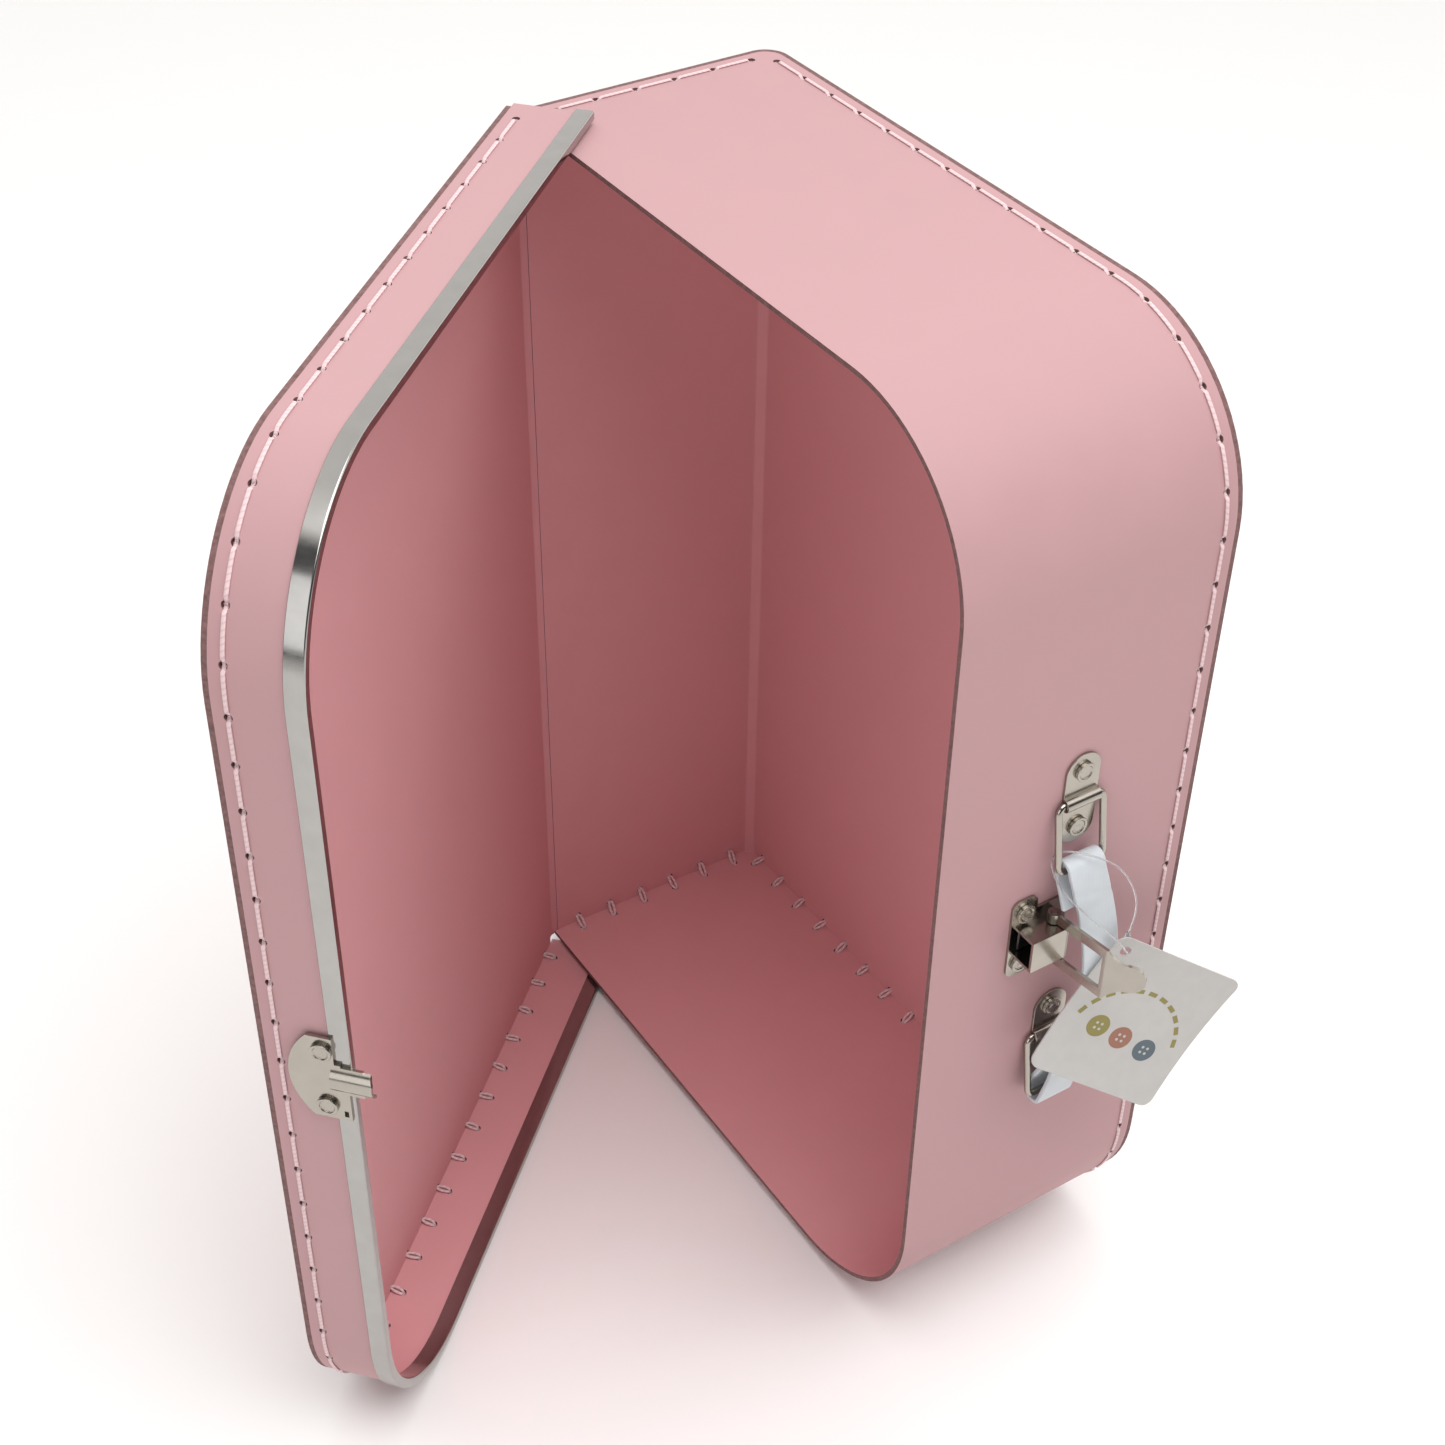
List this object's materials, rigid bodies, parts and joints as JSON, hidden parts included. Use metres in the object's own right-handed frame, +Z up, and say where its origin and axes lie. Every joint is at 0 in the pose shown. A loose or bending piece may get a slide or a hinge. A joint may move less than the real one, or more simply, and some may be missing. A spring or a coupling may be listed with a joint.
{
  "type": "stitched fibreboard case",
  "caption": "Stitched fibreboard case standing on end, hinged lid open, riveted latch, wire rings with a strap handle, paper tag on a loop.",
  "frame": {"origin": "bottom centre of the whole case at rest, lid open, tag and its loop left out", "axes": "+Z up along the case's long side, +X from the spine to the handle wall, +Y from the opening to the back panel"},
  "size_m": [0.2308, 0.2345, 0.3074],
  "materials": {
    "pink_board": "matt coated fibreboard",
    "thread": "waxed cotton thread",
    "trim_steel": "bare drawn sheet steel",
    "nickel_plate": "nickel plated pressing, satin",
    "nickel_wire": "nickel plated wire",
    "rivet_steel": "nickel plated rivet head, dimpled",
    "spring_steel": "spring steel leaf",
    "strap_white": "coated white strap, smooth",
    "tag_paper": "printed card, matt",
    "nylon": "clear nylon line"
  },
  "bodies": {
    "case": {"base_shell": "pink_board", "base_wall": "pink_board", "base_outer_stitches": "thread", "base_inner_stitches": "thread", "hinge_crease": "pink_board", "latch_housing": "nickel_plate", "latch_pin": "nickel_plate", "latch_spring": "spring_steel", "latch_rivets": "rivet_steel", "upper_handle_plate": "nickel_plate", "lower_handle_plate": "nickel_plate", "handle_rivets": "rivet_steel"},
    "lid": {"lid_panel": "pink_board", "lid_rim": "pink_board", "lid_edge_trim": "trim_steel", "lid_outer_stitches": "thread", "lid_inner_stitches": "thread", "strike_plate": "nickel_plate", "strike_rivets": "rivet_steel"},
    "latch_lever": {"latch_lever": "nickel_plate"},
    "upper_ring": {"upper_ring": "nickel_wire"},
    "lower_ring": {"lower_ring": "nickel_wire"},
    "strap": {"handle_strap": "strap_white"},
    "tag": {"tag_card": "tag_paper", "tag_loop": "nylon", "tag_loop_lock": "nylon"}
  },
  "joints": [
    {"name": "lid_hinge", "type": "hinge", "parent": "case", "child": "lid", "pos_m": [-0.11412, 0.03348, 0.15368], "axis": [0, 0, -1], "range_deg": [-47.5, 132.5], "deforming": ["hinge_crease"]},
    {"name": "latch_lever_pivot", "type": "hinge", "parent": "case", "child": "latch_lever", "pos_m": [0.08938, 0.06978, 0.15268], "axis": [0, 0, -1], "range_deg": [0, 83]},
    {"name": "upper_ring_pivot", "type": "hinge", "parent": "case", "child": "upper_ring", "pos_m": [0.08628, 0.07638, 0.19318], "axis": [0, -1, 0], "range_deg": [0, 162]},
    {"name": "lower_ring_pivot", "type": "hinge", "parent": "case", "child": "lower_ring", "pos_m": [0.08628, 0.07638, 0.11218], "axis": [0, -1, 0], "range_deg": [0, 162]},
    {"name": "strap_pivot", "type": "hinge", "parent": "upper_ring", "child": "strap", "pos_m": [0.08933, 0.07638, 0.17392], "axis": [0, -1, 0], "range_deg": [-162, 0]},
    {"name": "tag_swing", "type": "hinge", "parent": "upper_ring", "child": "tag", "pos_m": [0.08933, 0.07638, 0.17392], "axis": [0, -1, 0], "range_deg": [-113.4, 0], "deforming": ["tag_loop"]}
  ],
  "couplings": [
    {"joint": "lower_ring_pivot", "follows": "upper_ring_pivot", "ratio": 1},
    {"joint": "strap_pivot", "follows": "upper_ring_pivot", "ratio": -1},
    {"joint": "tag_swing", "follows": "upper_ring_pivot", "ratio": -0.7}
  ]
}
